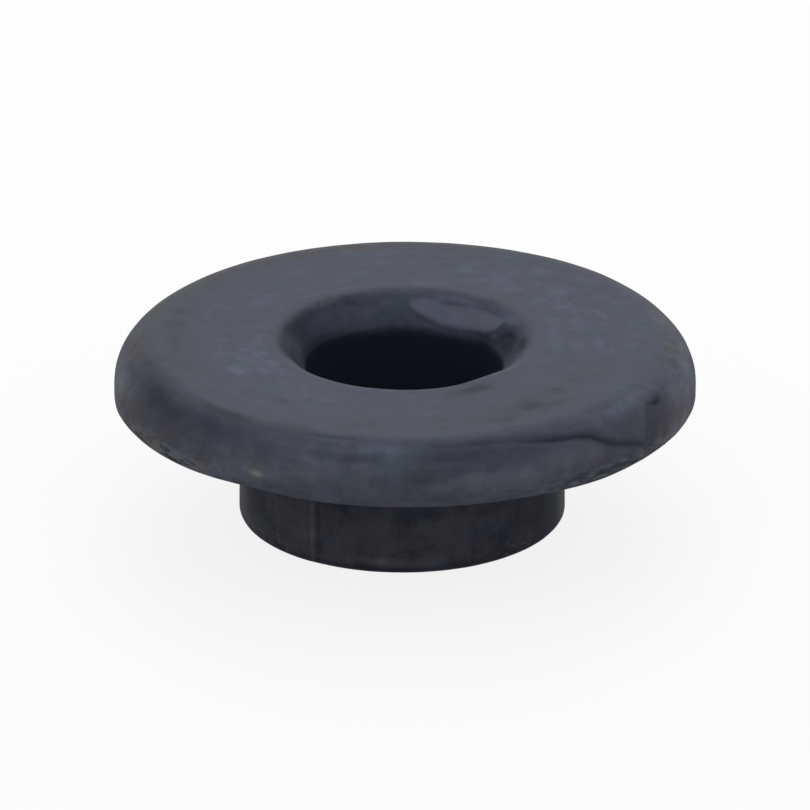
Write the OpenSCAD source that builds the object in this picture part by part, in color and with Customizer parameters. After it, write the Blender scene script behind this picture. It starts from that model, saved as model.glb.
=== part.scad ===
// Vacuum breaker seal: one rubber moulding, a thick round flange over a short
// collar, with a bore right through it that opens into a funnel at the top.
// The seal stands on its collar, with its axis along Z and the origin at the
// centre of the collar's foot. All sizes are in millimetres.

/* [Flange] */
// Outer diameter of the flange
flange_d = 28.5; // [22:0.1:44]
// Thickness of the flange
flange_t = 2.85; // [1.4:0.05:6]
// Radius that rounds the flange's upper edge
rim_r = 2.2; // [0.1:0.05:3]
// Radius of the flange's lower edge, where the mould halves meet
under_rim_r = 0.15; // [0.05:0.05:0.6]

/* [Collar] */
// Outer diameter of the collar
collar_d = 16; // [12:0.1:20]
// Height of the collar under the flange
collar_h = 6.25; // [2:0.05:16]
// Radius of the collar's outer edge at its foot
foot_r = 0.3; // [0.05:0.05:0.8]
// Fillet in the corner between collar and flange
root_r = 0.25; // [0.05:0.05:0.8]

/* [Bore] */
// Diameter of the bore
bore_d = 9.7; // [5:0.1:11]
// Radius of the bore's lower edge
bore_edge_r = 0.25; // [0.05:0.05:0.6]

/* [Funnel] */
// Depth of the funnel below the top face
funnel_depth = 1.4; // [0.4:0.05:2.6]
// Slope of the funnel's wall above the horizontal, in degrees
funnel_slope = 47; // [30:1:70]
// Radius that rounds the lip, where the wall meets the top face
lip_r = 1.2; // [0.1:0.05:1.8]
// Radius that rounds the throat, where the wall meets the bore
throat_r = 0.35; // [0.05:0.05:0.8]

/* [Hidden] */
$fn = 144;

flange_r = flange_d / 2;
collar_r = collar_d / 2;
bore_r = bore_d / 2;
height = collar_h + flange_t;
foot_w = collar_r - bore_r;

// The funnel's wall runs from the throat, on the bore, to the mouth, on the top face
throat = [bore_r, height - funnel_depth];
mouth = [bore_r + funnel_depth / tan(funnel_slope), height];
wall = norm(mouth - throat);
up_wall = (mouth - throat) / wall;

// The share of a side that the roundings at its two ends may take up
long_share = 0.7;
short_share = 0.25;
// The share of the flange's side that the rim's rounding may take up
rim_share = 0.98;
// Roundings come out in whole micrometres, with this many of them to the millimetre
micrometres = 1000;

// A rounding gives way where its side is too short
function fitted(r, room) = floor(micrometres * min(r, room)) / micrometres;

// How far from its corner an arc of unit radius starts, where the side turns by `turn`
function setback(turn) = tan(turn / 2);

under_rim = fitted(under_rim_r, short_share * flange_t);
rim = fitted(rim_r, rim_share * (flange_t - under_rim));
foot = fitted(foot_r, short_share * min(foot_w, collar_h));
bore_edge = fitted(bore_edge_r, short_share * foot_w);
root = fitted(root_r, short_share * min(collar_h, flange_r - collar_r));
lip = fitted(lip_r, long_share * wall / setback(funnel_slope));
throat_arc = fitted(throat_r, short_share * wall / setback(90 - funnel_slope));

// How far a cutting shape runs past what it cuts
past = 0.5;
// How far an arc stands proud of the sloping wall, so that the two cross cleanly
proud = 0.002;
// How many times its own size a corner's cutting shape is drawn, to reach past the corner
stretch = 1.3;

// What lies outside the arc at a square corner; the signs point from the corner inward
module square_corner(at, r, signs) {
    translate(at)
        scale(signs)
            difference() {
                translate([-past, -past]) square(r + past);
                translate([r, r]) circle(r);
            }
}

// What lies outside the arc where the sloping wall ends. From the corner, `away` points
// along the straight side and `inward` across it; the side turns by `turn` to the wall
module wall_corner(at, away, inward, turn, r) {
    reach = r * setback(turn);
    centre = away * (reach - proud / sin(turn)) + inward * r;
    wall_end = (inward * sin(turn) - away * cos(turn)) * reach;
    translate(at + centre)
        difference() {
            polygon(stretch * [[0, 0], -inward * r, -centre, wall_end - centre]);
            circle(r);
        }
}

// The fillet under the flange, with the part of it that lies inside collar and flange
module root_fillet() {
    difference() {
        translate([collar_r - past, collar_h - root]) square(root + past);
        translate([collar_r + root, collar_h - root]) circle(root);
    }
}

// The seal's section on one side of its axis: x is the radius, y the height
module section() {
    difference() {
        union() {
            translate([bore_r, 0]) square([foot_w, height]);
            translate([bore_r, collar_h]) square([flange_r - bore_r, flange_t]);
            root_fillet();
        }
        polygon([throat - up_wall * past, mouth + up_wall * past, [bore_r - past, height + past]]);
        square_corner([bore_r, 0], bore_edge, [1, 1]);
        square_corner([collar_r, 0], foot, [-1, 1]);
        square_corner([flange_r, collar_h], under_rim, [-1, 1]);
        square_corner([flange_r, height], rim, [-1, -1]);
        wall_corner(mouth, [1, 0], [0, -1], funnel_slope, lip);
        wall_corner(throat, [0, -1], [1, 0], 90 - funnel_slope, throat_arc);
    }
}

module seal() {
    color([0.27, 0.28, 0.31])
        rotate_extrude() section();
}

seal();
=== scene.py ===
"""Vacuum breaker seal: the rubber moulding's finish, on a plain stage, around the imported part."""

import math
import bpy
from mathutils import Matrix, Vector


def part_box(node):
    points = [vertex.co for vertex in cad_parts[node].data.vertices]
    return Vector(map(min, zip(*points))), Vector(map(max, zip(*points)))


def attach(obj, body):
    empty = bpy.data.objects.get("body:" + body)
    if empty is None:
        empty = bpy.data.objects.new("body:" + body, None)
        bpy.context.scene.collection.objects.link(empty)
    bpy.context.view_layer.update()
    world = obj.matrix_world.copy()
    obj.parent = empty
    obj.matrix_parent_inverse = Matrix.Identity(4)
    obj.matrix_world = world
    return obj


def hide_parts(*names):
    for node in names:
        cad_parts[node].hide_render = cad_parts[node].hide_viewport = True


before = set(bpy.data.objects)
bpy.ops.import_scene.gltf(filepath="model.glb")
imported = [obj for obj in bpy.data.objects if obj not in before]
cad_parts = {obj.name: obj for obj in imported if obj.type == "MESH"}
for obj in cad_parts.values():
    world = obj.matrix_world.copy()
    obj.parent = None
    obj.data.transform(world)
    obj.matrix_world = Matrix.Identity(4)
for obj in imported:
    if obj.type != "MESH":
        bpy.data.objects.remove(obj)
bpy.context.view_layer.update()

from types import SimpleNamespace
from typing import NamedTuple

import bmesh
import bpy
from bpy.props import FloatProperty, FloatVectorProperty, IntProperty, PointerProperty
from mathutils import Vector, noise

bl_info = {
    "name": "Vacuum breaker seal",
    "version": (1, 0, 0),
    "blender": (4, 5, 0),
    "location": "3D View > Sidebar > Seal",
    "description": "Moulds the worn rubber seal and sets its stage",
    "category": "Object",
}

SEAL_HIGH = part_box("seal")[1]

MM = 0.001
FULL_TURN = 2 * math.pi


# ---------------------------------------------------------------- sizes and colours

def length(name, text, default):
    """A length property, whose default is given in millimetres."""
    return FloatProperty(
        name=name, description=text, default=default * MM, min=0.0, unit="LENGTH", precision=5
    )


def colour(name, text, default):
    """A colour property, in linear values."""
    return FloatVectorProperty(
        name=name, description=text, default=default, size=3, min=0.0, max=1.0, subtype="COLOR"
    )


class SealSizes(bpy.types.PropertyGroup):
    """The moulding's section, as in the part's own source."""

    flange_r: length("Flange radius", "Outer radius of the flange", SEAL_HIGH.x / MM)
    height: length("Height", "From the collar's foot to the top face", SEAL_HIGH.z / MM)
    flange_t: length("Flange thickness", "Thickness of the flange", 2.85)
    rim_r: length("Rim radius", "Rounds the flange's upper edge", 2.2)
    under_rim_r: length("Lower rim radius", "Rounds the flange's lower edge", 0.15)
    collar_r: length("Collar radius", "Outer radius of the collar", 8.0)
    foot_r: length("Foot radius", "Rounds the collar's outer edge at its foot", 0.3)
    root_r: length("Root fillet", "Fillet between collar and flange", 0.25)
    bore_r: length("Bore radius", "Radius of the bore", 4.85)
    bore_edge_r: length("Bore edge radius", "Rounds the bore's lower edge", 0.25)
    funnel_depth: length("Funnel depth", "Depth of the funnel below the top face", 1.4)
    funnel_slope: FloatProperty(
        name="Funnel slope",
        description="Slope of the funnel's wall above the horizontal",
        default=math.radians(47),
        subtype="ANGLE",
    )
    lip_r: length("Lip radius", "Rounds the funnel's lip", 1.2)
    throat_r: length("Throat radius", "Rounds the funnel's throat", 0.35)
    ring_steps: IntProperty(
        name="Ring steps", description="Steps of the mesh round the axis", default=600, min=24
    )


class SealFlaws(bpy.types.PropertyGroup):
    """How far the moulding departs from its turned form."""

    collar_shift: length("Collar shift", "How far the collar sits off the axis, towards -X", 0.14)
    rim_warp: FloatProperty(
        name="Rim warp", description="Scales the lifts and drops of the flange's rim", default=1.0
    )
    crease_depth: length("Crease depth", "Depth of the flow crease on the rim", 0.13)
    dent_depth: length("Dent depth", "Depth of the flat dent beside the crease", 0.13)
    seam_height: length("Seam height", "Height of the mould's parting line on the collar", 0.05)
    skin_relief: length("Skin relief", "Height of the moulded skin's slow unevenness", 0.012)
    tongue_lift: FloatProperty(
        name="Tongue lift",
        description="How far the tongue in the funnel leans away from the wall's slope",
        default=math.radians(9),
        subtype="ANGLE",
    )


class SealFinish(bpy.types.PropertyGroup):
    """Colours and sheen of the rubber."""

    rubber: colour("Rubber", "The clean black rubber", (0.0128, 0.0160, 0.0280))
    bloom: colour("Bloom", "A thick grey bloom, cool", (0.115, 0.149, 0.208))
    bloom_warm: colour("Warm bloom", "A thick grey bloom, more purple", (0.135, 0.135, 0.214))
    dust: colour("Dust", "Specks of pale dust", (0.21, 0.222, 0.20))
    worn_edge: colour("Worn edge", "The plain grey of rubbed places", (0.134, 0.124, 0.130))
    sheen: FloatProperty(
        name="Sheen", description="Strength of the skin's reflection", default=0.3, min=0.0, max=1.0
    )
    grain: length("Grain", "Height of the fine grain of the skin", 0.006)


class SealStage(bpy.types.PropertyGroup):
    """Camera, lamps and floor."""

    view_elevation: FloatProperty(
        name="View elevation",
        description="How far above the horizontal the camera stands",
        default=math.radians(23.075),
        subtype="ANGLE",
    )
    view_distance: length("View distance", "From the camera to what it looks at", 600.0)
    focal_length: FloatProperty(
        name="Focal length",
        description="Of the lens, on a 36 mm sensor",
        default=543.5,
        unit="CAMERA",
    )
    sky: FloatProperty(name="Sky", description="Strength of the sky's soft light", default=0.7)
    key_power: FloatProperty(
        name="Key lamp", description="Power of the soft lamp behind", default=1.6, unit="POWER"
    )
    floor_tone: FloatProperty(
        name="Floor tone", description="How much light the floor gives back", default=0.55
    )


# ---------------------------------------------------------------- the section

# Steps of the mesh along each side of the section
STEPS = SimpleNamespace(
    bore_edge=3,
    bore=5,
    bore_top=8,
    throat=5,
    wall=16,
    lip=10,
    top=14,
    rim=52,
    side=6,
    under_rim=4,
    under=6,
    root=4,
    collar=18,
    foot_edge=5,
    foot=3,
)
# The bore's upper stretch, with finer steps for the shade below the throat
BORE_TOP = 1.2 * MM
# From the bore's lower edge to where the last straight side of the foot ends
FOOT_INSET = 0.3 * MM


class SectionPen:
    """Draws the section as one wire in the XZ plane, and notes how far each point has run."""

    def __init__(self, mesh, start):
        self.mesh = mesh
        self.run = mesh.verts.layers.float.new("run")
        self.first = mesh.verts.new(start)
        self.tip = self.first
        self.travelled = 0.0

    def _add(self, new_verts, step):
        for vert in new_verts:
            self.travelled += step
            vert[self.run] = self.travelled
            self.tip = vert

    def line(self, x, z, steps):
        """A straight side to (x, z)."""
        move = (Vector((x, 0, z)) - self.tip.co) / steps
        for _ in range(steps):
            made = bmesh.ops.extrude_vert_indiv(self.mesh, verts=[self.tip])["verts"]
            bmesh.ops.translate(self.mesh, verts=made, vec=move)
            self._add(made, move.length)

    def arc(self, x, z, angle, steps):
        """An arc round (x, z). A positive angle turns from +Z towards +X."""
        centre = Vector((x, 0, z))
        step = abs(angle) / steps * (self.tip.co - centre).length
        for _ in range(steps):
            made = bmesh.ops.spin(
                self.mesh,
                geom=[self.tip],
                cent=centre,
                axis=(0, 1, 0),
                angle=angle / steps,
                steps=1,
            )["geom_last"]
            self._add([item for item in made if isinstance(item, bmesh.types.BMVert)], step)

    def close(self):
        self.mesh.edges.new((self.tip, self.first))


def draw_section(mesh, sizes):
    """The whole section, from the bore's foot through the funnel and round to the collar's foot.

    Gives back how far the pen had travelled where each side begins, in metres.
    """
    quarter = math.pi / 2
    slope = sizes.funnel_slope
    under_z = sizes.height - sizes.flange_t
    mouth_r = sizes.bore_r + sizes.funnel_depth / math.tan(slope)
    lip_x = mouth_r + sizes.lip_r * math.tan(slope / 2)
    lip_z = sizes.height - sizes.lip_r
    throat_x = sizes.bore_r + sizes.throat_r
    throat_z = sizes.height - sizes.funnel_depth
    throat_z -= sizes.throat_r * math.tan((quarter - slope) / 2)
    bore_foot_x = sizes.bore_r + sizes.bore_edge_r
    rim_x = sizes.flange_r - sizes.rim_r
    under_rim_x = sizes.flange_r - sizes.under_rim_r
    marks = SimpleNamespace()

    pen = SectionPen(mesh, (bore_foot_x, 0, 0))
    pen.arc(bore_foot_x, sizes.bore_edge_r, quarter, STEPS.bore_edge)
    marks.bore_low = pen.travelled
    pen.line(sizes.bore_r, throat_z - BORE_TOP, STEPS.bore)
    pen.line(sizes.bore_r, throat_z, STEPS.bore_top)
    marks.bore_high = pen.travelled
    pen.arc(throat_x, throat_z, quarter - slope, STEPS.throat)
    marks.wall_low = pen.travelled
    wall_x = lip_x - sizes.lip_r * math.sin(slope)
    wall_z = lip_z + sizes.lip_r * math.cos(slope)
    pen.line(wall_x, wall_z, STEPS.wall)
    marks.wall_high = pen.travelled
    pen.arc(lip_x, lip_z, slope, STEPS.lip)
    marks.lip_high = pen.travelled
    pen.line(rim_x, sizes.height, STEPS.top)
    marks.rim_high = pen.travelled
    pen.arc(rim_x, sizes.height - sizes.rim_r, quarter, STEPS.rim)
    pen.line(sizes.flange_r, under_z + sizes.under_rim_r, STEPS.side)
    pen.arc(under_rim_x, under_z + sizes.under_rim_r, quarter, STEPS.under_rim)
    marks.under_outer = pen.travelled
    pen.line(sizes.collar_r + sizes.root_r, under_z, STEPS.under)
    pen.arc(sizes.collar_r + sizes.root_r, under_z - sizes.root_r, -quarter, STEPS.root)
    marks.collar_high = pen.travelled
    pen.line(sizes.collar_r, sizes.foot_r, STEPS.collar)
    marks.collar_low = pen.travelled
    pen.arc(sizes.collar_r - sizes.foot_r, sizes.foot_r, quarter, STEPS.foot_edge)
    marks.foot_outer = pen.travelled
    pen.line(bore_foot_x + FOOT_INSET, 0, STEPS.foot)
    pen.close()
    return marks


# ---------------------------------------------------------------- the moulding's flaws

# A place on the skin is given by its azimuth in degrees and by millimetres along the section.
# On the rim these run down from the rim's top, and in the funnel down from the wall's upper end.
CREASE_ROUTE = (
    (273.5, 0.86),
    (278.0, 0.96),
    (287.0, 1.00),
    (293.0, 1.09),
    (300.0, 1.37),
    (308.5, 1.65),
    (311.0, 1.83),
    (314.2, 2.32),
    (317.0, 2.62),
    (322.5, 3.07),
    (325.2, 3.30),
)
FLOW_LINES = (
    ((273.5, 1.72), (289.5, 1.98)),
    ((270.0, 2.78), (280.0, 2.86)),
    ((246.0, 0.62), (262.0, 0.60)),
    ((256.0, 1.80), (266.0, 1.72)),
)
DENT_EDGE = (
    (329.7, 1.60),
    (328.2, 1.86),
    (327.0, 2.15),
    (326.0, 2.48),
    (325.2, 2.76),
    (324.4, 3.05),
)
# Skin that the crease and the dent can reach: azimuths and runs
CREASE_REACH = ((262, 332), (-1.5, 5.0))
DENT_REACH = ((318, 356), (1.0, 4.4))
FLOW_LINE_REACH = (30, 1.5)
# The crease is faint at its start, and its upper side is narrower than its lower
CREASE_START_STRENGTH = 0.35
CREASE_SPREAD_ABOVE = 0.17
CREASE_SPREAD_BELOW = 0.22
CREASE_START_WIDENING = 0.7
CREASE_STEP_LENGTH = 0.7
FLOW_SPREAD = 0.19
# Depths of the step below the crease and of the flow lines, as shares of the crease's
STEP_SHARE = 0.35
FLOW_SHARE = 0.22
# The dent's upper edge at one azimuth, and how fast it drops beyond that
DENT_TOP = SimpleNamespace(azimuth=331, run=1.62, drop=0.05)
# The pit at the dent's top: azimuth and width, run and width, and its depth as a share
DENT_PIT = (333.8, 2.1, 1.76, 0.25)
PIT_SHARE = 0.7
# How much of the bloom each takes off, as painted shade in the crease, the flow lines, the dent and
# the pit
FOLD_SHADE = SimpleNamespace(crease=0.72, flow=0.24, dent=0.46, pit=0.6)
LEAST_BLOOM = 0.1
RIM_MEAN_R = 13.7

# The tongue of rubber in the funnel: azimuth, and how far down the wall it reaches
TONGUE_REACH = (
    (32.2, 0.0),
    (33.2, 0.52),
    (35.5, 0.76),
    (40.0, 0.90),
    (45.1, 1.00),
    (51.4, 1.08),
    (57.6, 1.13),
    (63.8, 1.14),
    (70.1, 1.08),
    (76.0, 0.93),
    (81.0, 0.73),
    (85.0, 0.52),
    (87.3, 0.36),
    (88.6, 0.0),
)
# The slope of the tongue's end face, and how softly its crest and its foot are rounded, in mm
TONGUE_END_FALL = 0.55
TONGUE_CREST_SOFTNESS = 0.12
TONGUE_FOOT_SOFTNESS = 0.05
# The tongue's bloom, partly painted light on its face, starts a little above the wall's upper end,
# and fades out past the tongue's end, in mm. Its start drops to the wall's end between two
# azimuths.
TONGUE_BLOOM_AND_LIGHT = SimpleNamespace(above=0.12, top_fade=0.18, past_end=0.17, short_of_end=0.08)
TONGUE_BLOOM_AND_LIGHT_DROP = (40, 82)

# Swells and hollows of the funnel: azimuth and its width, place down the wall and its width, height
FUNNEL_SWELLS = (
    (22, 7, 0.45, 0.30, -0.10),
    (312, 16, -0.40, 0.45, 0.12),
)

# Lifts of the rim: azimuth, width in degrees, lift of its lower edge and of its upper edge
RIM_LIFTS = (
    (188, 7, -0.14, 0.0),
    (238, 11, 0.13, 0.0),
    (312, 12, -0.11, 0.0),
    (45, 16, 0.0, 0.065),
)
# Radii between which the lifts grow, on the flange's lower side and on its upper side
LOW_LIFT_GROWS = (8.4 * MM, 13 * MM)
HIGH_LIFT_GROWS = (10.4 * MM, 13 * MM)
# Height of the lower edge that moves as one
LOW_EDGE_HEIGHT = 0.6 * MM
# Radii between which the collar's shift dies away, and its fade up into the flange
SHIFT_DIES = (14 * MM, 8.2 * MM)
SHIFT_FADE = 2 * MM

# Azimuth of the mould's parting line on the collar, which comes back on the far side
SEAM = 237.0
RIDGE_WIDTH = 0.85
GROOVE_WIDTH = 0.9
GROOVE_PAST_RIDGE = 2.2
GROOVE_SHARE = 0.4

# The skin's slow unevenness: bumps to the millimetre, coarse and fine
SKIN_SCALES = (0.45, 1.1)


def smooth_step(low, high, value):
    """0 below low, 1 above high, and a smooth rise between them. It falls if low is above high."""
    t = min(1.0, max(0.0, (value - low) / (high - low)))
    return t * t * (3 - 2 * t)


def hump(value, centre, width):
    """A smooth hump of height 1, about twice as wide as width."""
    return math.exp(-(((value - centre) / width) ** 2))


def turn_from(azimuth, centre):
    """The angle from centre to azimuth in degrees, between -180 and 180."""
    return (azimuth - centre + 180) % 360 - 180


def across(azimuth, centre, width):
    """A smooth hump round an azimuth, in degrees."""
    return hump(turn_from(azimuth, centre), 0, width)


def spot(azimuth, along, centre, width, place, spread):
    """A smooth round spot on the skin: azimuth and its width, place along and its width."""
    return across(azimuth, centre, width) * hump(along, place, spread)


def within(reach, azimuth, run):
    """Whether a place on the rim lies inside a reach of azimuths and runs."""
    (first, last), (high, low) = reach
    return first < azimuth < last and high < run < low


def along_table(table, azimuth):
    """The value at an azimuth in a table of azimuths and values, and 0 outside it."""
    for (a, low), (b, high) in zip(table, table[1:]):
        if a <= azimuth < b:
            return low + (high - low) * (azimuth - a) / (b - a)
    return 0.0


def on_sheet(azimuth, run):
    """The rim's skin laid flat, in millimetres."""
    return Vector((math.radians(azimuth) * RIM_MEAN_R, run))


def beside_route(azimuth, run, route):
    """How far a place lies past a route, on its right-hand side, and its share of the way."""
    place = on_sheet(azimuth, run)
    corners = [on_sheet(*corner) for corner in route]
    total = sum((b - a).length for a, b in zip(corners, corners[1:]))
    nearest, past, share_done, passed = math.inf, 0.0, 0.0, 0.0
    for a, b in zip(corners, corners[1:]):
        way = b - a
        share = min(1.0, max(0.0, (place - a).dot(way) / way.length_squared))
        gap = place - (a + way * share)
        if gap.length < nearest:
            nearest = gap.length
            past = math.copysign(nearest, way.x * (place.y - a.y) - way.y * (place.x - a.x))
            share_done = (passed + way.length * share) / total
        passed += way.length
    return past, share_done


class RimFlaws:
    """The crease, the flow lines and the dent at one place of the rim."""

    def __init__(self, azimuth, run):
        self.crease = self.crease_step = self.flow = self.dent = self.dent_pit = 0.0
        if within(CREASE_REACH, azimuth, run):
            self._fold(azimuth, run)
        for line in FLOW_LINES:
            start_azimuth, start_run = line[0]
            past, beyond = abs(turn_from(azimuth, start_azimuth)), abs(run - start_run)
            if past < FLOW_LINE_REACH[0] and beyond < FLOW_LINE_REACH[1]:
                below, share = beside_route(azimuth, run, line)
                fade = smooth_step(0.0, 0.3, share) * smooth_step(1.0, 0.7, share)
                self.flow += fade * hump(below, 0.0, FLOW_SPREAD)
        if within(DENT_REACH, azimuth, run):
            self._sink(azimuth, run)

    def _fold(self, azimuth, run):
        """The crease, and the step below it that dies away."""
        below, share = beside_route(azimuth, run, CREASE_ROUTE)
        strength = CREASE_START_STRENGTH * smooth_step(-0.02, 0.08, share)
        strength += (1 - CREASE_START_STRENGTH) * smooth_step(0.3, 0.62, share)
        strength *= smooth_step(1.0, 0.95, share)
        spread = CREASE_SPREAD_ABOVE if below < 0 else CREASE_SPREAD_BELOW
        spread *= 1 + CREASE_START_WIDENING * (1 - smooth_step(0.2, 0.6, share))
        self.crease = strength * hump(below, 0.0, spread)
        if below > 0:
            self.crease_step = strength * math.exp(-below / CREASE_STEP_LENGTH)

    def _sink(self, azimuth, run):
        """The dent, with a sharp left edge and a soft right one, and the pit at its top."""
        left_of, _ = beside_route(azimuth, run, DENT_EDGE)
        past_edge = -left_of
        sunk = smooth_step(-0.05, 0.12, past_edge) * smooth_step(2.6, 0.4, past_edge)
        top_edge = DENT_TOP.run + DENT_TOP.drop * turn_from(azimuth, DENT_TOP.azimuth)
        sunk *= smooth_step(top_edge - 0.2, top_edge + 0.15, run) * smooth_step(3.9, 3.1, run)
        self.dent = sunk
        self.dent_pit = spot(azimuth, run, *DENT_PIT)

    def push(self, flaws):
        """How far the skin is pushed out here, in metres."""
        folds = self.crease + STEP_SHARE * self.crease_step + FLOW_SHARE * self.flow
        hollows = self.dent + PIT_SHARE * self.dent_pit
        return -flaws.crease_depth * folds - flaws.dent_depth * hollows

    def bloom_past_fold_shade(self):
        """How much of the bloom shows here, where 1 is all of it, after the painted shade in the
        crease, the flow lines, the dent and the pit.
        """
        worn = FOLD_SHADE.crease * self.crease + FOLD_SHADE.flow * self.flow
        worn += FOLD_SHADE.dent * self.dent + FOLD_SHADE.pit * self.dent_pit
        return max(LEAST_BLOOM, 1 - worn)


def seam_ridge(azimuth):
    """The parting line's ridge, and the shallow groove beside it, on both sides of the collar."""
    ridge = groove = 0.0
    for centre in (SEAM, SEAM - 180):
        ridge += across(azimuth, centre, RIDGE_WIDTH)
        groove += across(azimuth, centre + GROOVE_PAST_RIDGE, GROOVE_WIDTH)
    return ridge, groove


def soft_min(first, second, softness):
    """The smaller of two numbers, with the corner between them rounded."""
    gap = max(softness - abs(first - second), 0.0) / softness
    return min(first, second) - gap * gap * softness / 4


def tongue_height(reach, down_wall, lift):
    """How far the tongue stands off the funnel's wall, in millimetres."""
    if reach <= 0 or down_wall <= 0:
        return 0.0
    crest = down_wall * math.tan(lift)
    end_face = reach * math.tan(lift) - TONGUE_END_FALL * (down_wall - reach)
    top = soft_min(crest, end_face, TONGUE_CREST_SOFTNESS)
    return -soft_min(-top, 0.0, TONGUE_FOOT_SOFTNESS)


def tongue_cover(reach, azimuth, down_wall):
    """How much of a place in the funnel the tongue's bloom covers. That bloom is partly painted
    light on the tongue's face.
    """
    rule = TONGUE_BLOOM_AND_LIGHT
    top = -rule.above + rule.above * smooth_step(*TONGUE_BLOOM_AND_LIGHT_DROP, azimuth)
    below_top = smooth_step(top, top + rule.top_fade, down_wall)
    fade = (reach + rule.past_end, reach - rule.short_of_end)
    return below_top * smooth_step(*fade, down_wall)


def lift_rim(azimuth, radius, z, under_z, height):
    """How far the flange's rim is lifted here as the moulding cooled, in metres."""
    low = smooth_step(*LOW_LIFT_GROWS, radius)
    low *= smooth_step(height, under_z + LOW_EDGE_HEIGHT, z)
    high = smooth_step(*HIGH_LIFT_GROWS, radius) * smooth_step(under_z, height, z)
    lift = 0.0
    for centre, width, low_edge, high_edge in RIM_LIFTS:
        lift += across(azimuth, centre, width) * (low * low_edge + high * high_edge)
    return lift * MM


# ---------------------------------------------------------------- the bloom's wear, and painted light and shade

# Patches where the bloom is thicker or thinner: azimuth and its width in degrees, distance along
# the section and its width in millimetres, and the share by which the bloom grows there. On the
# collar the distance is the height above its foot. Besides the bloom's own unevenness, the patches
# hold painted light and shade: the rim is darker at its left front and lighter at its right, the
# funnel's sides are darker and its wall around the tongue lighter, and the collar's ends are darker
# against their sheen.
RIM_PATCHES = (
    (212, 15, 1.75, 0.70, -0.56),
    (200, 13, 0.85, 0.95, -0.54),
    (184, 24, -0.70, 1.10, -0.62),
    (231, 9, 1.50, 0.50, -0.34),
    (227, 12, 0.50, 0.50, -0.66),
    (245, 14, 0.10, 0.60, -0.36),
    (189, 11, 2.60, 1.00, 1.25),
    (206, 8, 3.60, 0.40, 0.80),
    (222, 13, 3.70, 0.45, 1.05),
    (228, 7, 2.45, 0.35, 0.30),
    (238, 10, 3.20, 0.42, 0.72),
    (253, 11, 2.35, 0.50, 1.05),
    (248, 10, 1.35, 0.30, 0.35),
    (264, 9, 1.25, 0.42, 0.85),
    (262, 8, 3.40, 0.45, 0.25),
    (281, 6, 3.30, 0.35, 0.40),
    (281, 9, 1.55, 0.48, -0.34),
    (288, 11, 3.00, 0.60, 0.85),
    (306, 9, 2.70, 0.70, 0.40),
    (300, 8, 1.50, 0.32, -0.30),
    (322, 10, 1.10, 0.50, 0.50),
    (334, 7, 0.95, 0.40, 0.36),
    (338, 11, 3.85, 0.50, 1.60),
    (350, 12, 2.50, 0.90, 1.40),
    (8, 18, 1.40, 0.90, 0.50),
    (198, 20, -4.30, 1.50, 0.12),
    (30, 28, -2.20, 2.40, 0.18),
    (140, 30, -0.20, 1.10, -0.44),
    (120, 18, -3.00, 0.80, -0.24),
    (307, 24, -1.90, 1.90, -0.62),
    (270, 26, -0.80, 1.10, -0.40),
    (298, 15, -4.90, 0.80, -0.85),
    (246, 12, -5.20, 0.45, -0.35),
)
FUNNEL_PATCHES = (
    (22, 11, 0.66, 0.55, -0.92),
    (6, 18, 0.85, 0.60, -0.52),
    (1, 12, -0.05, 0.50, -0.70),
    (30, 8, -0.12, 0.25, 0.90),
    (37, 9, 1.22, 0.22, -0.80),
    (62, 11, 1.24, 0.24, 1.10),
    (64, 22, -0.26, 0.24, 0.34),
    (80, 10, 0.02, 0.22, 1.20),
    (112, 12, -0.42, 0.28, -0.44),
    (148, 22, -0.25, 0.40, -0.56),
    (145, 28, 0.75, 0.60, -0.46),
    (160, 34, 1.24, 0.26, -0.80),
    (170, 26, 0.40, 0.90, -0.46),
    (186, 24, -0.40, 0.34, -0.46),
    (196, 16, 0.50, 0.80, -0.85),
    (95, 60, -0.85, 0.35, -0.50),
    (270, 40, -0.70, 0.30, -0.34),
    (299, 10, -0.75, 0.35, -0.50),
)
COLLAR_PATCHES = (
    (234, 14, 1.20, 1.50, 0.40),
    (206, 7, 2.50, 1.70, -1.10),
    (258, 30, 1.90, 1.80, 0.15),
    (284, 10, 1.90, 1.50, 0.35),
    (318, 14, 1.80, 1.60, -0.60),
    (335, 9, 1.20, 1.60, -1.20),
)
# Stretches of the flange's lower edge and of the collar's foot that are scuffed: azimuth and width
SCUFFED_STRETCHES = ((212, 18), (318, 18), (30, 22), (120, 20))

# Cover of the bloom, from 0 for clean rubber to 1: on the flange, on the collar and on the tongue.
# The tongue's thick cover is partly painted light on its face.
USUAL_BLOOM = 0.37
THIN_BLOOM = 0.19
THICK_BLOOM_AND_LIGHT = 0.76
# The funnel's share of the usual cover, lowered as painted shade in the hollow, and the wall's
# depth in mm below which it stays the same
FUNNEL_SHARE = 0.92
FUNNEL_WALL = 1.3
COLLAR_TINT = -0.9
# A pale line near the collar's foot: azimuth and width, height and width
PALE_FOOT_LINE = (264, 13, 0.6, 0.06)
# The worn side of the funnel, and the two stretches of the rim with the greyest lower edge
WORN_FUNNEL_SIDE = (140, 48)
GREY_STRETCHES = ((206, 24), (333, 20))
# The speck of dust: azimuth and width, run and width
DUST_SPECK = (239.8, 1.15, 3.25, 0.14)


def patched(azimuth, along, patches):
    """How much bloom, with its painted light and shade, a set of patches leaves at a place, where 1
    is the usual cover.
    """
    return 1.0 + sum(growth * spot(azimuth, along, *where) for *where, growth in patches)


def handled_at(azimuth, run):
    """How much the rim's outer band is rubbed to a plain grey. It is spared in front."""
    band_top = 0.1 - 1.3 * across(azimuth, 100, 55)
    beside_front = smooth_step(66, 84, abs(turn_from(azimuth, 270)))
    below_band = 1.0 - 0.65 * smooth_step(1.0, 2.8, run)
    return beside_front * smooth_step(band_top, band_top + 1.3, run) * below_band


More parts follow.
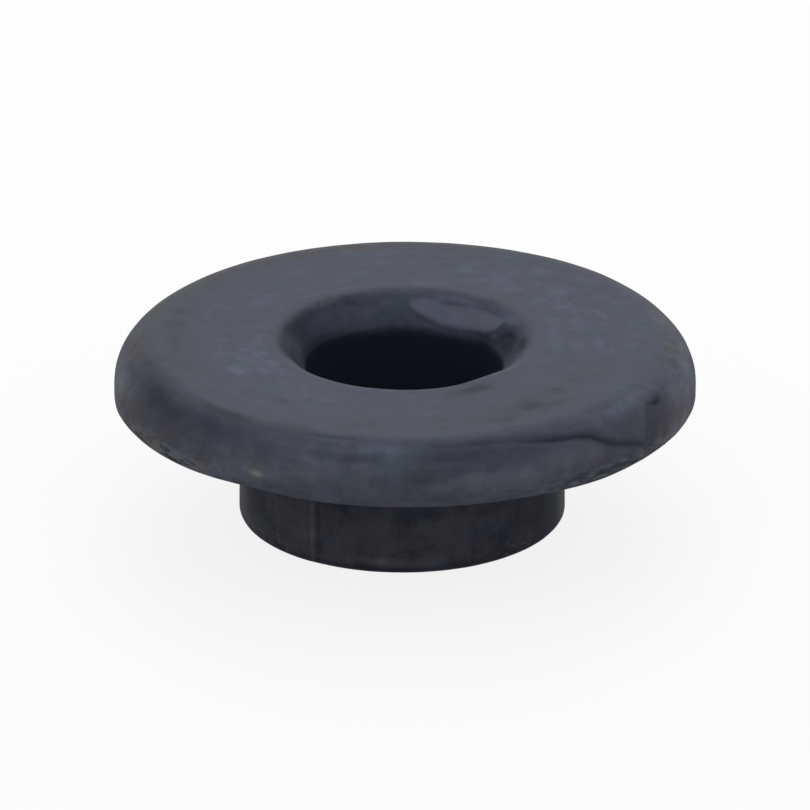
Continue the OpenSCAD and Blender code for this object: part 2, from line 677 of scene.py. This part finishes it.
def scuffs_at(azimuth, run, z):
    """How scuffed a place near the rim or the collar's foot is."""
    along = sum(across(azimuth, centre, width) for centre, width in SCUFFED_STRETCHES)
    flange_edge = hump(run, 3.85, 0.55)
    foot = smooth_step(1.6, 0.2, z) * smooth_step(5.0, 6.0, run)
    edges = min(1.0, 0.15 + along) * (flange_edge + 0.5 * foot)
    return edges + 0.15 * handled_at(azimuth, run) * smooth_step(3.0, 2.0, run)


def tint_at(marks, travelled, azimuth, tongue_share):
    """The bloom's tint, from -1 for plain grey to 1 for purple, where 0 is its usual mixture."""
    if travelled < marks.lip_high:
        in_funnel = smooth_step(marks.lip_high, marks.wall_high, travelled)
        return (0.3 * across(azimuth, *WORN_FUNNEL_SIDE) - 0.2 * tongue_share) * in_funnel
    if travelled < marks.under_outer:
        run = (travelled - marks.rim_high) / MM
        scuffed = sum(across(azimuth, *stretch) for stretch in GREY_STRETCHES)
        lower_edge = smooth_step(0.0, 3.5, run)
        return -max((0.5 + 0.3 * scuffed) * lower_edge, 0.75 * handled_at(azimuth, run))
    return COLLAR_TINT


def bloom_and_shade_at(marks, travelled, azimuth, z, flaws, tongue_share):
    """How much grey bloom lies on a place of the skin, with painted shade: thinner down the funnel
    and in the bore, on the collar under the flange and at its foot, and in the rim's folds and
    hollows.
    """
    if travelled < marks.lip_high:
        down_wall = min((marks.wall_high - travelled) / MM, FUNNEL_WALL)
        patches = max(0.0, patched(azimuth, down_wall, FUNNEL_PATCHES))
        cover = FUNNEL_SHARE * USUAL_BLOOM * patches
        # Painted shade: the cover thins towards the funnel's foot and is gone in the bore
        cover *= 1.0 - 0.3 * smooth_step(0.8, 1.25, down_wall)
        cover *= smooth_step(marks.bore_high - 0.4 * MM, marks.wall_low, travelled)
        # The tongue's thick, pale bloom is partly painted light on its face
        return cover + (THICK_BLOOM_AND_LIGHT - cover) * tongue_share
    if travelled < marks.under_outer:
        run = (travelled - marks.rim_high) / MM
        return USUAL_BLOOM * patched(azimuth, run, RIM_PATCHES) * flaws.bloom_past_fold_shade()
    if travelled < marks.collar_high:
        return THIN_BLOOM
    ridge, groove = seam_ridge(azimuth)
    cover = THIN_BLOOM * patched(azimuth, z / MM, COLLAR_PATCHES)
    # Painted shade: the cover thins at the collar's top, under the flange, and at its foot
    cover *= 1.0 - 0.4 * smooth_step(2.2, 3.4, z / MM) - 0.6 * smooth_step(0.55, 0.3, z / MM)
    pale_line = spot(azimuth, z / MM, *PALE_FOOT_LINE)
    # More cover on the seam's ridge is a painted highlight, and less in its groove is painted shade
    return cover * (1.0 + 1.3 * ridge - 0.5 * groove + 2.4 * pale_line)


# What the material reads from the mesh, one number to a point. The bloom's cover also holds painted
# light and shade.
SKIN_LAYERS = ("bloom", "dust", "scuffs", "tint", "mottle", "drawn")


def mottle_at(run, tongue_share):
    """How strongly the bloom is mottled. It is calmer on the rim and on the tongue."""
    on_rim = smooth_step(-0.4, 0.6, run) * smooth_step(5.0, 4.0, run)
    return 0.85 * (1.0 - 0.75 * tongue_share) - 0.25 * on_rim


def shift_collar(flaws, radius, z, under_z):
    """How far the collar is shifted here. The shift dies away up into the flange."""
    low_part = smooth_step(*SHIFT_DIES, radius)
    return flaws.collar_shift * low_part * smooth_step(under_z + SHIFT_FADE, under_z, z)


def sculpt_moulding(mesh, marks, sizes, flaws):
    """Moves the points of the turned form to the worn moulding's, and lays its bloom."""
    run_layer = mesh.verts.layers.float["run"]
    layers = {name: mesh.verts.layers.float.new(name) for name in SKIN_LAYERS}
    lay_layer = mesh.verts.layers.float_vector.new("lay")
    under_z = sizes.height - sizes.flange_t
    slope = sizes.funnel_slope
    mesh.normal_update()
    for vert in mesh.verts:
        radius = math.hypot(vert.co.x, vert.co.y)
        azimuth = math.degrees(math.atan2(vert.co.y, vert.co.x)) % 360
        travelled = vert[run_layer]
        run = (travelled - marks.rim_high) / MM
        rim_flaws = RimFlaws(azimuth, run)

        push = rim_flaws.push(flaws)
        if marks.collar_high < travelled < marks.collar_low:
            ridge, groove = seam_ridge(azimuth)
            push += flaws.seam_height * (ridge - GROOVE_SHARE * groove)
        if marks.bore_low < travelled < marks.foot_outer:
            coarse, fine = (noise.noise(vert.co * (scale / MM)) for scale in SKIN_SCALES)
            push += (coarse + 0.5 * fine) * flaws.skin_relief
        tongue = tongue_share = 0.0
        if marks.bore_high < travelled < marks.lip_high:
            down_wall = (marks.wall_high - travelled) / MM
            reach = along_table(TONGUE_REACH, azimuth)
            tongue = tongue_height(reach, down_wall, flaws.tongue_lift)
            tongue_share = tongue_cover(reach, azimuth, down_wall) if reach else 0.0
            for *where, height in FUNNEL_SWELLS:
                push += height * spot(azimuth, down_wall, *where) * MM

        skin = {
            "bloom": bloom_and_shade_at(marks, travelled, azimuth, vert.co.z, rim_flaws, tongue_share),
            "dust": spot(azimuth, run, *DUST_SPECK),
            "scuffs": scuffs_at(azimuth, run, vert.co.z / MM),
            "tint": tint_at(marks, travelled, azimuth, tongue_share),
            "mottle": mottle_at(run, tongue_share),
            "drawn": smooth_step(marks.under_outer, marks.collar_high, travelled),
        }
        for name, amount in skin.items():
            vert[layers[name]] = amount
        outward = Vector((vert.co.x, vert.co.y, 0)) / radius
        vert[lay_layer] = (outward.x * RIM_MEAN_R, outward.y * RIM_MEAN_R, run)

        shift = vert.normal * push
        if tongue:
            off_wall = Vector((0, 0, math.cos(slope))) - outward * math.sin(slope)
            shift += off_wall * tongue * MM
        if travelled > marks.lip_high:
            lift = lift_rim(azimuth, radius, vert.co.z, under_z, sizes.height)
            shift.z += flaws.rim_warp * lift
        shift.x -= shift_collar(flaws, radius, vert.co.z, under_z)
        vert.co += shift
        vert.co.z = max(vert.co.z, 0.0)


def make_moulding(sizes, flaws):
    """The seal as one closed mesh: its section turned round the axis, then sculpted."""
    mesh = bmesh.new()
    marks = draw_section(mesh, sizes)
    bmesh.ops.spin(
        mesh,
        geom=mesh.verts[:] + mesh.edges[:],
        cent=(0, 0, 0),
        axis=(0, 0, 1),
        angle=FULL_TURN,
        steps=sizes.ring_steps,
        use_merge=True,
    )
    bmesh.ops.remove_doubles(mesh, verts=mesh.verts[:], dist=0.001 * MM)
    bmesh.ops.recalc_face_normals(mesh, faces=mesh.faces[:])
    sculpt_moulding(mesh, marks, sizes, flaws)
    for face in mesh.faces:
        face.smooth = True
    data = bpy.data.meshes.new("seal_moulding")
    mesh.to_mesh(data)
    mesh.free()
    piece = bpy.data.objects.new("seal_moulding", data)
    bpy.context.scene.collection.objects.link(piece)
    return piece


# ---------------------------------------------------------------- materials

class NodeBench:
    """Adds nodes to a material or a world, and joins them as they are named."""

    def __init__(self, owner):
        owner.use_nodes = True
        self.tree = owner.node_tree
        self.tree.nodes.clear()

    def add(self, kind, settings=None, **inputs):
        node = self.tree.nodes.new(kind)
        for name, value in (settings or {}).items():
            setattr(node, name, value)
        for name, value in inputs.items():
            self.put(node.inputs[name.replace("_", " ")], value)
        return node

    def put(self, socket, value):
        if isinstance(value, bpy.types.NodeSocket):
            self.tree.links.new(value, socket)
        else:
            socket.default_value = value

    def maths(self, operation, first, second=0.0, clamp=False):
        node = self.tree.nodes.new("ShaderNodeMath")
        node.operation = operation
        node.use_clamp = clamp
        self.put(node.inputs[0], first)
        self.put(node.inputs[1], second)
        return node.outputs[0]

    def mix(self, factor, first, second):
        node = self.tree.nodes.new("ShaderNodeMix")
        node.data_type = "RGBA"
        self.put(node.inputs["Factor"], factor)
        self.put(node.inputs["A"], first)
        self.put(node.inputs["B"], second)
        return node.outputs["Result"]

    def blend_shaders(self, share, first, second):
        node = self.add("ShaderNodeMixShader")
        for socket, value in zip(node.inputs, (share, first, second)):
            self.put(socket, value)
        return node.outputs[0]

    def noise(self, place, scale, detail, roughness):
        node = self.add(
            "ShaderNodeTexNoise", Vector=place, Scale=scale, Detail=detail, Roughness=roughness
        )
        return node.outputs["Fac"]

    def spread(self, value, low, high, at_low, at_high):
        """A smooth change from at_low to at_high as the value goes from low to high."""
        node = self.add("ShaderNodeMapRange", {"interpolation_type": "SMOOTHSTEP"}, Value=value)
        names = ("From Min", "From Max", "To Min", "To Max")
        for name, number in zip(names, (low, high, at_low, at_high)):
            node.inputs[name].default_value = number
        return node.outputs["Result"]

    def clouds(self, place, kind):
        """A noise that is spread between the amounts its kind says."""
        value = self.noise(place, kind.scale, kind.detail, kind.roughness)
        return self.spread(value, kind.low, kind.high, kind.at_low, kind.at_high)

    def stretched(self, place, scale):
        """A place with each of its axes scaled."""
        return self.add("ShaderNodeMapping", Vector=place, Scale=scale).outputs[0]

    def attribute(self, name, output="Fac"):
        return self.add("ShaderNodeAttribute", {"attribute_name": name}).outputs[output]


class Clouds(NamedTuple):
    """A noise, the values between which it counts, and the amounts they stand for."""

    scale: float
    detail: float
    roughness: float
    low: float
    high: float
    at_low: float
    at_high: float


# How the bloom is mottled: shares by which it grows or thins
DRIFTS = Clouds(0.28, 3.0, 0.6, 0.3, 0.7, -0.22, 0.22)
SMUDGES = Clouds(0.9, 2.5, 0.5, 0.3, 0.7, -0.26, 0.26)
POWDER = Clouds(2.7, 3.0, 0.6, 0.3, 0.7, -0.16, 0.16)
# Wipe marks run round the flange in places, and draw marks run down the collar
WIPES = Clouds(1.0, 1.5, 0.5, 0.34, 0.66, -0.26, 0.26)
WIPED_PLACES = Clouds(0.22, 2.0, 0.5, 0.42, 0.6, 0.15, 1.0)
WIPE_STRETCH = (0.28, 0.28, 1.7)
DRAW_MARKS = Clouds(1.0, 4.0, 0.6, 0.32, 0.68, -0.38, 0.38)
DRAW_STRETCH = (1.1, 1.1, 0.4)
# Where the bloom is more purple, and how much of a plain tint shows
PURPLE_PLACES = Clouds(0.55, 3.0, 0.6, 0.38, 0.62, 0.0, 1.0)
PLAIN_PLACES = Clouds(0.8, 3.0, 0.6, 0.36, 0.64, -0.6, -1.35)
# Scuffs run along the edges, some pale and some down to the bare rubber
SCRAPES = Clouds(1.0, 3.0, 0.6, 0.52, 0.66, 0.0, 0.8)
BARE_CHIPS = Clouds(1.0, 3.0, 0.6, 0.5, 0.37, 0.0, 0.85)
SCUFF_STRETCH = (1.3, 1.3, 4.2)
# The fine grain: bumps to the millimetre, detail and roughness
GRAIN = (5.0, 4.0, 0.65)
# Roughness and the sheen's share, each for a thin and for a thick cover
ROUGHNESS = SimpleNamespace(thin=0.66, thick=0.82, full_at=0.45)
THIN_SHEEN = SimpleNamespace(share=0.4, below=0.03, full_at=0.25)


def opaque(rgb):
    return (*rgb, 1.0)


def bloom_cover(bench, in_mm, lay):
    """How thickly the bloom covers a place, with its mottle, wipes and draw marks, and the painted
    light and shade it carries.
    """
    wipes = bench.clouds(bench.stretched(lay, WIPE_STRETCH), WIPES)
    wipes = bench.maths("MULTIPLY", wipes, bench.clouds(in_mm, WIPED_PLACES))
    draws = bench.clouds(bench.stretched(in_mm, DRAW_STRETCH), DRAW_MARKS)
    draws = bench.maths("MULTIPLY", draws, bench.attribute("drawn"))
    uneven = bench.maths("ADD", wipes, draws)
    for kind in (DRIFTS, SMUDGES, POWDER):
        uneven = bench.maths("ADD", uneven, bench.clouds(in_mm, kind))
    uneven = bench.maths("MULTIPLY", uneven, bench.attribute("mottle"))
    uneven = bench.maths("ADD", uneven, 1.0)
    return bench.maths("MULTIPLY", bench.attribute("bloom"), uneven, clamp=True)


def bloomed_rubber(finish):
    """Black moulded rubber with a mottled grey bloom, thinner where it has been handled. Its cover
    also holds painted light and shade.
    """
    material = bpy.data.materials.new("bloomed_rubber")
    bench = NodeBench(material)
    place = bench.add("ShaderNodeTexCoord").outputs["Object"]
    in_mm = bench.stretched(place, (1 / MM, 1 / MM, 1 / MM))
    lay = bench.attribute("lay", "Vector")
    cover = bloom_cover(bench, in_mm, lay)

    tint = bench.attribute("tint")
    purple = bench.maths("ADD", bench.clouds(in_mm, PURPLE_PLACES), tint, clamp=True)
    bloom = bench.mix(purple, opaque(finish.bloom), opaque(finish.bloom_warm))
    plain = bench.maths("MULTIPLY", tint, bench.clouds(in_mm, PLAIN_PLACES), clamp=True)
    bloom = bench.mix(plain, bloom, opaque(finish.worn_edge))
    skin = bench.mix(cover, opaque(finish.rubber), bloom)

    scuffs = bench.attribute("scuffs")
    along_edge = bench.stretched(lay, SCUFF_STRETCH)
    for kind, rgb in ((SCRAPES, finish.worn_edge), (BARE_CHIPS, finish.rubber)):
        chipped = bench.maths("MULTIPLY", scuffs, bench.clouds(along_edge, kind))
        skin = bench.mix(chipped, skin, opaque(rgb))
    skin = bench.mix(bench.attribute("dust"), skin, opaque(finish.dust))

    roughness = bench.spread(cover, 0.0, ROUGHNESS.full_at, ROUGHNESS.thin, ROUGHNESS.thick)
    sheen = bench.spread(
        cover, THIN_SHEEN.below, THIN_SHEEN.full_at, THIN_SHEEN.share * finish.sheen, finish.sheen
    )
    grain = bench.noise(in_mm, *GRAIN)
    bump = bench.add("ShaderNodeBump", Height=grain, Distance=finish.grain, Strength=1.0)
    shader = bench.add(
        "ShaderNodeBsdfPrincipled",
        Base_Color=skin,
        Roughness=roughness,
        Specular_IOR_Level=sheen,
        Normal=bump.outputs["Normal"],
    )
    bench.add("ShaderNodeOutputMaterial", Surface=shader.outputs["BSDF"])
    return material


# The floor as the camera sees it: its tone, and the share of plain white in it
SEEN_FLOOR_TONE = 0.95
SEEN_FLOOR_WHITE = 0.85
WHITE = (1, 1, 1, 1)


def pale_floor(tone):
    """A pale floor that keeps the seal's shadow. It gives back less light than the camera sees."""
    material = bpy.data.materials.new("pale_floor")
    bench = NodeBench(material)
    ray = bench.add("ShaderNodeLightPath").outputs
    seen = bench.maths("MAXIMUM", ray["Is Camera Ray"], ray["Is Glossy Ray"])
    shade = bench.mix(seen, opaque([tone] * 3), opaque([SEEN_FLOOR_TONE] * 3))
    shaded = bench.add("ShaderNodeBsdfDiffuse", Color=shade)
    glow = bench.add("ShaderNodeEmission", Color=WHITE, Strength=1.0)
    white_share = bench.maths("MULTIPLY", seen, SEEN_FLOOR_WHITE)
    blend = bench.blend_shaders(white_share, shaded.outputs[0], glow.outputs[0])
    bench.add("ShaderNodeOutputMaterial", Surface=blend)
    return material


# ---------------------------------------------------------------- the stage

FLOOR_SIZE = 6.0
# The camera looks at a point on the axis below the top, raised a little across the view
AIM_BELOW_TOP = 4.0 * MM
AIM_RAISE = 0.427 * MM
SENSOR_WIDTH = 36.0
CAMERA_REACH = (0.01, 20.0)
# The key lamp stands straight behind the seal: angles in degrees, lengths in metres
KEY_LAMP = SimpleNamespace(azimuth=90, elevation=35, distance=0.6, size=0.4)


def make_floor(tone):
    mesh = bmesh.new()
    bmesh.ops.create_grid(mesh, x_segments=1, y_segments=1, size=FLOOR_SIZE / 2)
    data = bpy.data.meshes.new("floor")
    mesh.to_mesh(data)
    mesh.free()
    data.materials.append(pale_floor(tone))
    floor = bpy.data.objects.new("floor", data)
    bpy.context.scene.collection.objects.link(floor)


def place_camera(stage, height):
    """The camera stands in front, along -Y, and looks down on the seal."""
    elevation = stage.view_elevation
    back = Vector((0, -math.cos(elevation), math.sin(elevation)))
    up = Vector((0, math.sin(elevation), math.cos(elevation)))
    aim = Vector((0, 0, height - AIM_BELOW_TOP)) + up * AIM_RAISE
    data = bpy.data.cameras.new("camera")
    data.lens = stage.focal_length
    data.sensor_width = SENSOR_WIDTH
    data.clip_start, data.clip_end = CAMERA_REACH
    camera = bpy.data.objects.new("camera", data)
    camera.location = aim + back * stage.view_distance
    camera.rotation_euler = (math.pi / 2 - elevation, 0, 0)
    bpy.context.scene.collection.objects.link(camera)
    bpy.context.scene.camera = camera


def hang_key_lamp(power):
    """A square soft lamp behind the seal, turned to look at it."""
    turn, rise = math.radians(KEY_LAMP.azimuth), math.radians(KEY_LAMP.elevation)
    way = Vector((math.cos(rise) * math.cos(turn), math.cos(rise) * math.sin(turn), math.sin(rise)))
    data = bpy.data.lights.new("key_lamp", "AREA")
    data.shape = "SQUARE"
    data.size = KEY_LAMP.size
    data.energy = power
    lamp = bpy.data.objects.new("key_lamp", data)
    lamp.location = way * KEY_LAMP.distance
    lamp.rotation_euler = way.to_track_quat("Z", "Y").to_euler()
    bpy.context.scene.collection.objects.link(lamp)


def light_sky(strength):
    """An even soft sky, seen as plain white by the camera."""
    world = bpy.data.worlds.new("studio")
    bench = NodeBench(world)
    sky = bench.add("ShaderNodeBackground", Color=WHITE, Strength=strength)
    white = bench.add("ShaderNodeBackground", Color=WHITE, Strength=1.0)
    seen = bench.add("ShaderNodeLightPath").outputs["Is Camera Ray"]
    blend = bench.blend_shaders(seen, sky.outputs[0], white.outputs[0])
    bench.add("ShaderNodeOutputWorld", Surface=blend)
    bpy.context.scene.world = world


# ---------------------------------------------------------------- operators, panel and run

class SEAL_OT_mould(bpy.types.Operator):
    """Mould the seal, with its flaws and its bloomed rubber"""

    bl_idname = "seal.mould"
    bl_label = "Mould the seal"

    def execute(self, context):
        scene = context.scene
        piece = make_moulding(scene.seal_sizes, scene.seal_flaws)
        piece.data.materials.append(bloomed_rubber(scene.seal_finish))
        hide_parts("seal")
        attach(piece, "root")
        return {"FINISHED"}


class SEAL_OT_stage(bpy.types.Operator):
    """Set the floor, the lamps and the camera"""

    bl_idname = "seal.stage"
    bl_label = "Set the stage"

    def execute(self, context):
        stage = context.scene.seal_stage
        make_floor(stage.floor_tone)
        light_sky(stage.sky)
        hang_key_lamp(stage.key_power)
        place_camera(stage, context.scene.seal_sizes.height)
        context.scene.view_settings.view_transform = "Standard"
        return {"FINISHED"}


class SEAL_PT_panel(bpy.types.Panel):
    """Lists the seal's operators and settings"""

    bl_label = "Seal"
    bl_idname = "SEAL_PT_panel"
    bl_space_type = "VIEW_3D"
    bl_region_type = "UI"
    bl_category = "Seal"

    def draw(self, context):
        layout = self.layout
        for operator in (SEAL_OT_mould, SEAL_OT_stage):
            layout.operator(operator.bl_idname)
        for group in SCENE_GROUPS:
            settings = getattr(context.scene, group)
            box = layout.box()
            box.label(text=group.replace("_", " "))
            for name in settings.bl_rna.properties.keys():
                if name not in ("rna_type", "name"):
                    box.prop(settings, name)


SCENE_GROUPS = {
    "seal_sizes": SealSizes,
    "seal_flaws": SealFlaws,
    "seal_finish": SealFinish,
    "seal_stage": SealStage,
}
OPERATORS_AND_PANEL = (SEAL_OT_mould, SEAL_OT_stage, SEAL_PT_panel)


def register():
    for name, group in SCENE_GROUPS.items():
        bpy.utils.register_class(group)
        setattr(bpy.types.Scene, name, PointerProperty(type=group))
    for item in OPERATORS_AND_PANEL:
        bpy.utils.register_class(item)


def unregister():
    for item in reversed(OPERATORS_AND_PANEL):
        bpy.utils.unregister_class(item)
    for name, group in reversed(list(SCENE_GROUPS.items())):
        delattr(bpy.types.Scene, name)
        bpy.utils.unregister_class(group)


def main():
    register()
    bpy.ops.seal.stage()
    bpy.ops.seal.mould()


if __name__ == "__main__":
    main()
